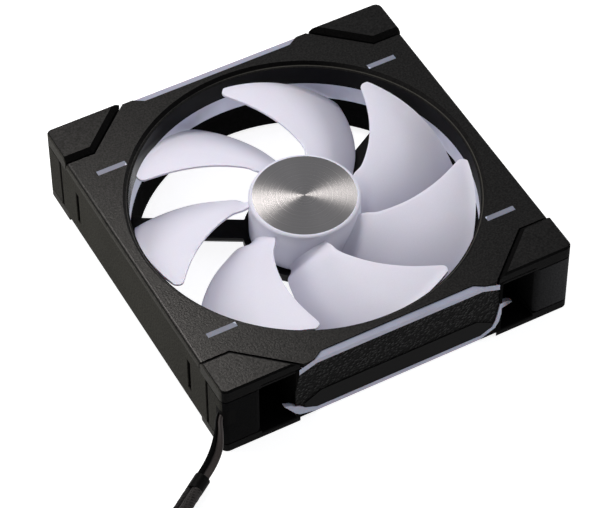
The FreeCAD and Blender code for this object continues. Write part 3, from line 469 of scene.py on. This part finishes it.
def make_materials():
    """One material for each of the record's slots."""
    return {
        "frame_plastic": cased("frame_plastic", BLACK, FLANK_PAINTED_LIGHT, 0.5, Specular_IOR_Level=0.025),
        "cover_plastic": duct_cover("cover_plastic", BLACK),
        "bracket_plastic": moulded("bracket_plastic", BLACK, 0.45, Specular_IOR_Level=0.1),
        "corner_rubber": cased("corner_rubber", BLACK, shade(FLANK_PAINTED_LIGHT, 0.9), 0.32, Specular_IOR_Level=0.33),
        "post_plastic": cased("post_plastic", GREY_BLACK, shade(FLANK_PAINTED_LIGHT, 0.85), 0.5, right=POST_RIGHT_PAINTED_LIGHT,
                              Specular_IOR_Level=0.04),
        "grained_panel": grained("grained_panel", BLACK),
        "badge_plastic": moulded("badge_plastic", BLACK, 0.34, grain=1500.0, depth=0.00001, Specular_IOR_Level=0.025),
        "diffuser": diffusing("diffuser", MILK),
        "blade_plastic": bladed("blade_plastic", BLADE_WHITE, BLADE_PAINTED_SHADE),
        "hub_metal": spun_metal("hub_metal", DISC_METAL, 0.00024, 0.245),
        "yoke_steel": plain_metal("yoke_steel", (0.42, 0.43, 0.44), 0.35),
        "magnet": moulded("magnet", (0.035, 0.033, 0.034), 0.6, grain=2100.0),
        "shaft_steel": plain_metal("shaft_steel", (0.62, 0.62, 0.63), 0.16, stretch=(1, 1, 12)),
        "brass_tube": plain_metal("brass_tube", (0.72, 0.52, 0.22), 0.3, stretch=(1, 1, 10)),
        "sintered_bronze": plain_metal("sintered_bronze", (0.45, 0.30, 0.16), 0.5, grain=4200.0),
        "nylon": moulded("nylon", (0.66, 0.64, 0.56), 0.42, contrast=0.05),
        "core_steel": layered("core_steel", (0.36, 0.37, 0.38), (0.08, 0.08, 0.09), 0.0005, 0.4, metallic=1.0),
        "copper_wire": layered("copper_wire", (0.62, 0.24, 0.08), (0.12, 0.03, 0.01), 0.0003, 0.34, metallic=0.9),
        "board": circuit_board("board"),
        "label": printed_label("label"),
        "grommet_rubber": moulded("grommet_rubber", BLACK, 0.7, grain=3600.0, Specular_IOR_Level=0.02),
        "lead_jacket": moulded("lead_jacket", (0.045, 0.037, 0.035), 0.5, grain=2800.0, Specular_IOR_Level=0.2),
        "cable_sleeve": woven("cable_sleeve", (0.018, 0.0157, 0.015)),
        "collar_plastic": moulded("collar_plastic", (0.0022, 0.0021, 0.0021), 0.5, Specular_IOR_Level=0.04),
        "tie_fabric": woven("tie_fabric", (0.0055, 0.0045, 0.0042), cell=1100.0),
        "plug_plastic": moulded("plug_plastic", (0.014, 0.014, 0.015), 0.36),
    }


def paint_nodes(materials):
    """Give every carried-over node the material of its slot."""
    for part in frame["record"]["subparts"]:
        data = frame["nodes"][part["node"]].data
        data.materials.clear()
        data.materials.append(materials[part["material_slot"]])


# ---------------------------------------------------------------- lead
CABLE_ROUTE = [(-75.0, -69.9, 2.7), (-80.6, -73.7, 2.6), (-86.6, -78.0, 2.6), (-92.2, -82.6, 2.6),
               (-97.8, -87.0, 2.6), (-103.2, -91.4, 2.6), (-108.5, -96.0, 2.6)]
TAIL_ROUTE = [(-84.5, -149.9, 7.4), (-77.5, -149.2, 6.6), (-70.6, -148.0, 4.9), (-63.6, -145.9, 3.2),
              (-56.8, -143.9, 2.6), (-50.0, -143.0, 2.6)]
RIBBON_ROUTE = [(-59.0, -57.9, 17.2), (-60.4, -58.4, 15.4), (-60.9, -59.6, 11.7), (-63.1, -62.6, 7.9),
                (-66.6, -65.0, 4.9), (-70.8, -67.2, 3.1), (-75.0, -69.9, 2.7)]
COIL_CENTER = (-87.2, -118.8)
COIL_START, COIL_END = 133.0, 275.0
COIL_TURNS = 2 + (COIL_END - COIL_START) / 360
COIL_WIDE, COIL_NARROW = 31.4, 25.9
COIL_LOW, COIL_HIGH = 2.6, 7.5
FLOOR_TURNS, CLIMB_TURNS = 1.08, 0.26
POINTS_PER_TURN = 18
CABLE_STEP, RIBBON_STEP = 0.45 * MM, 0.5 * MM


def coil_points():
    """The stored turns: one in along the floor, a climb, and one out again on top."""
    points = []
    count = round(COIL_TURNS * POINTS_PER_TURN)
    for number in range(1, count):
        turns = COIL_TURNS * number / count
        inward = min(1.0, turns / FLOOR_TURNS)
        climbed = min(1.0, max(0.0, (turns - FLOOR_TURNS) / CLIMB_TURNS))
        outward = max(0.0, (turns - FLOOR_TURNS - CLIMB_TURNS) / (COIL_TURNS - FLOOR_TURNS - CLIMB_TURNS))
        radius = COIL_WIDE + (COIL_NARROW - COIL_WIDE) * (inward - outward)
        angle = math.radians(COIL_START + 360 * turns)
        rise = climbed * climbed * (3 - 2 * climbed)
        points.append((COIL_CENTER[0] + radius * math.cos(angle), COIL_CENTER[1] + radius * math.sin(angle),
                       COIL_LOW + (COIL_HIGH - COIL_LOW) * rise))
    return points


def braid_section(wide, high):
    """A round braided tube off the path's middle: crossed waves of thread stand proud of it."""
    radius, depth, strands, pitch, count = 1.75, 0.07, 12, 5.2, 36

    def section(length):
        ring = []
        twist = 2 * math.pi * length / (pitch * MM)
        for k in range(count):
            angle = 2 * math.pi * k / count
            weave = math.sin(strands / 2 * angle + twist) * math.sin(strands / 2 * angle - twist)
            out = radius + depth * weave
            ring.append(((wide + out * math.cos(angle)) * MM, (high + out * math.sin(angle)) * MM))
        return ring
    return section


def flat_section(wide, high, width, thickness):
    """A flat cable with rounded edges, off the path's middle: it leaves the post turned and pinched."""
    start_turn, untwisted, start_width, count = math.radians(-62), 15 * MM, 0.5, 28
    wide_power, high_power = 0.45, 0.6

    def section(length):
        share = min(1.0, length / untwisted)
        eased = share * share * (3 - 2 * share)
        turn = start_turn * (1 - eased)
        squeeze = start_width + (1 - start_width) * eased
        ring = []
        for k in range(count):
            c, s = math.cos(2 * math.pi * k / count), math.sin(2 * math.pi * k / count)
            across = (wide + width / 2 * math.copysign(abs(c) ** wide_power, c)) * squeeze * MM
            above = (high + thickness / 2 * math.copysign(abs(s) ** high_power, s)) * MM
            ring.append((across * math.cos(turn) - above * math.sin(turn),
                         across * math.sin(turn) + above * math.cos(turn)))
        return ring
    return section


def make_lead(materials):
    """Two flat leads and two sleeved cables with their stored turns, in place of the model's own cable and flat lead,
    which are hidden.
    """
    line = evenly(smooth_line("cable_line", CABLE_ROUTE + coil_points() + TAIL_ROUTE), CABLE_STEP)
    level = (0.6, -0.8, 0)
    cable = sweep("cable", line, level, braid_section(1.0, -0.65), materials["cable_sleeve"])
    # Painted shade: the twin lobe takes the darker tie fabric, beside the paler lit cable.
    twin = sweep("cable_twin", line, level, braid_section(-1.0, 0.65), materials["tie_fabric"])
    thin = evenly(smooth_line("ribbon_line", RIBBON_ROUTE), RIBBON_STEP)
    facing = (0.8, -0.6, 0)
    ribbon = sweep("ribbon", thin, facing, flat_section(0.45, 0.1, 2.6, 1.1), materials["lead_jacket"])
    # Painted shade: the second flat lead takes the near-black collar plastic, beside the lit lead.
    dark = sweep("ribbon_twin", thin, facing, flat_section(-1.3, -0.5, 1.6, 1.0), materials["collar_plastic"])
    for piece, name in ((cable, "cable_sleeve"), (twin, "tie_fabric"), (ribbon, "lead_jacket"),
                        (dark, "collar_plastic")):
        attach(piece, "frame")
    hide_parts("cable_run", "cable_coil", "cable_tail")
    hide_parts("lead_ribbon")


# ---------------------------------------------------------------- surroundings
def softbox(name, spot, width, height, power, colour):
    """A rectangular light at a spot, facing the fan."""
    data = bpy.data.lights.new(name, "AREA")
    data.shape = "RECTANGLE"
    data.size, data.size_y = width, height
    data.energy = power
    data.color = colour
    light = bpy.data.objects.new(name, data)
    bpy.context.scene.collection.objects.link(light)
    light.location = spot
    light.visible_camera = False
    light.rotation_mode = "QUATERNION"
    light.rotation_quaternion = Vector(spot).to_track_quat("Z", "Y")


FLOOR_HALF, FLOOR_LEVEL = 2.5, -0.0002
SKY_COLOUR = (0.94, 0.96, 1.0, 1)
SKY_HEIGHTS, SKY_STRENGTHS = (0.1, 0.7), (0.1, 0.37)


def make_surroundings():
    """A pale floor, soft light from behind and from both sides, and a surrounding that is palest overhead."""
    half, level = FLOOR_HALF, FLOOR_LEVEL
    paint = Paint("floor_paint", Roughness=0.7, Emission_Strength=0.85)
    paint.shader.inputs["Emission Color"].default_value = (1, 1, 1, 1)
    mottle = paint.noise(2.0, 4.0)
    tone = paint.blend(paint.spread(mottle, 0.3, 0.7), (0.5, 0.5, 0.505), (0.54, 0.54, 0.54))
    paint.feed(Base_Color=tone)
    floor = add_mesh("floor", [(-half, -half, level), (half, -half, level), (half, half, level), (-half, half, level)],
                     [(0, 1, 2, 3)], paint.material, smooth=False)

    world = bpy.data.worlds.new("surround")
    bpy.context.scene.world = world
    world.use_nodes = True
    tree = world.node_tree
    background = tree.nodes["Background"]
    background.inputs["Color"].default_value = SKY_COLOUR
    around = tree.nodes.new("ShaderNodeTexCoord").outputs["Generated"]
    height = tree.nodes.new("ShaderNodeSeparateXYZ")
    tree.links.new(around, height.inputs[0])
    dim_low = tree.nodes.new("ShaderNodeMapRange")
    tree.links.new(height.outputs[2], dim_low.inputs["Value"])
    for socket, value in zip(("From Min", "From Max", "To Min", "To Max"), SKY_HEIGHTS + SKY_STRENGTHS):
        dim_low.inputs[socket].default_value = value
    tree.links.new(dim_low.outputs["Result"], background.inputs["Strength"])

    softbox("gloss_box", (-0.04, 0.215, 0.435), 0.14, 0.14, 1.25, WARM_SHEEN)
    softbox("left_box", (-0.36, 0.25, 0.30), 0.3, 0.3, 0.9, (1.0, 0.985, 0.96))
    softbox("right_box", (1.08, -0.32, 0.40), 0.7, 0.4, 4.0, (0.98, 0.985, 1.0))
    bpy.context.scene.view_settings.view_transform = "Standard"


# ---------------------------------------------------------------- build
make_camera()
materials = make_materials()
paint_nodes(materials)
make_lead(materials)
make_surroundings()
